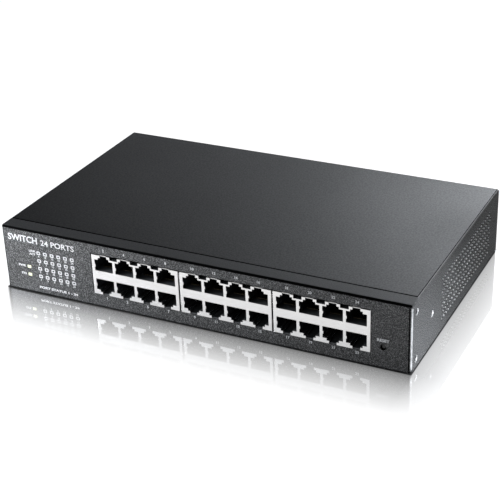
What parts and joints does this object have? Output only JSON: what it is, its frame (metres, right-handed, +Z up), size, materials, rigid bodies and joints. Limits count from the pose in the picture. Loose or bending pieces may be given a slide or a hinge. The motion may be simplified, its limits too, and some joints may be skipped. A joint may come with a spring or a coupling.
{
  "type": "rackmount network switch",
  "caption": "Compact flat steel network switch with stacked RJ45 ports in its front, status lamps, a reset pinhole, perforated side walls and a mains inlet at the rear.",
  "frame": {"origin": "centre of the case's underside, on the resting face, midway between the front face and the rear wall", "axes": "+X along the width to the right seen from the front, -Y out of the front panel, +Y out of the rear wall, +Z up"},
  "size_m": [0.267, 0.1638, 0.043],
  "materials": {
    "case_paint": "matte",
    "lid_paint": "matte",
    "panel_paint": "matte",
    "screw_steel": "zinc plated",
    "shield_tin": "bright tin",
    "jack_plastic": "matte",
    "contact_gold": "gold plated",
    "board_green": "solder mask",
    "standoff_steel": "zinc plated",
    "chip_black": "moulded",
    "sink_aluminium": "anodised",
    "can_aluminium": "satin",
    "crystal_can": "satin",
    "inductor_ferrite": "moulded",
    "small_parts": "ceramic",
    "lamp_clear": "clear",
    "led_body": "clear",
    "switch_body": "moulded",
    "plunger": "moulded",
    "power_board_tan": "laminate",
    "insulation": "film",
    "fuse_glass": "clear",
    "film_box": "moulded",
    "ferrite": "sintered",
    "copper": "enamelled wire",
    "tape_yellow": "tape",
    "capacitor_sleeve": "shrink sleeve",
    "inlet_plastic": "moulded",
    "pin_nickel": "nickel plated",
    "wire_black": "insulated",
    "wire_earth": "green and yellow insulation",
    "wire_red": "insulated",
    "header_white": "moulded",
    "sleeve_clear": "moulded"
  },
  "bodies": {
    "case": {"ac_terminal": "header_white", "ac_wires": "wire_black", "board_capacitors": "can_aluminium", "board_inductors": "inductor_ferrite", "bulk_capacitor": "capacitor_sleeve", "chassis_base": "case_paint", "chip_resistors": "small_parts", "choke_core": "ferrite", "choke_windings": "copper", "cover_screws": "screw_steel", "crystals": "crystal_can", "dc_harness": "wire_red", "dc_headers": "header_white", "earth_nut": "screw_steel", "earth_screw": "screw_steel", "earth_wire": "wire_earth", "front_panel": "panel_paint", "inlet_body": "inlet_plastic", "inlet_pins": "pin_nickel", "inlet_screws": "screw_steel", "insulation_sheet": "insulation", "jack_contacts_1": "contact_gold", "jack_contacts_2": "contact_gold", "jack_contacts_3": "contact_gold", "jack_housing_1": "jack_plastic", "jack_housing_2": "jack_plastic", "jack_housing_3": "jack_plastic", "jack_shield_1": "shield_tin", "jack_shield_2": "shield_tin", "jack_shield_3": "shield_tin", "led_board": "board_green", "light_pipes": "lamp_clear", "line_fuse": "fuse_glass", "magnetics": "chip_black", "main_board": "board_green", "main_board_screws": "screw_steel", "main_board_standoffs": "standoff_steel", "output_capacitors": "capacitor_sleeve", "phy_chips": "chip_black", "phy_heat_sinks": "sink_aluminium", "power_board": "power_board_tan", "power_board_screws": "screw_steel", "power_board_standoffs": "standoff_steel", "power_heat_sinks": "sink_aluminium", "power_transistors": "chip_black", "rectifier_bridge": "chip_black", "reset_switch": "switch_body", "small_outline_chips": "chip_black", "status_leds": "led_body", "switch_chip": "chip_black", "switch_heat_sink": "sink_aluminium", "top_cover": "lid_paint", "transformer_core": "ferrite", "transformer_winding": "tape_yellow", "wire_receptacles": "sleeve_clear", "x_capacitor": "film_box"},
    "reset": {"reset_button": "plunger"}
  },
  "joints": [
    {"name": "reset_press", "type": "slide", "parent": "case", "child": "reset", "axis": [0, 1, 0], "range_m": [0, 0.0003], "stiffness_N_per_m": 1500, "springref_m": -0.0006}
  ]
}
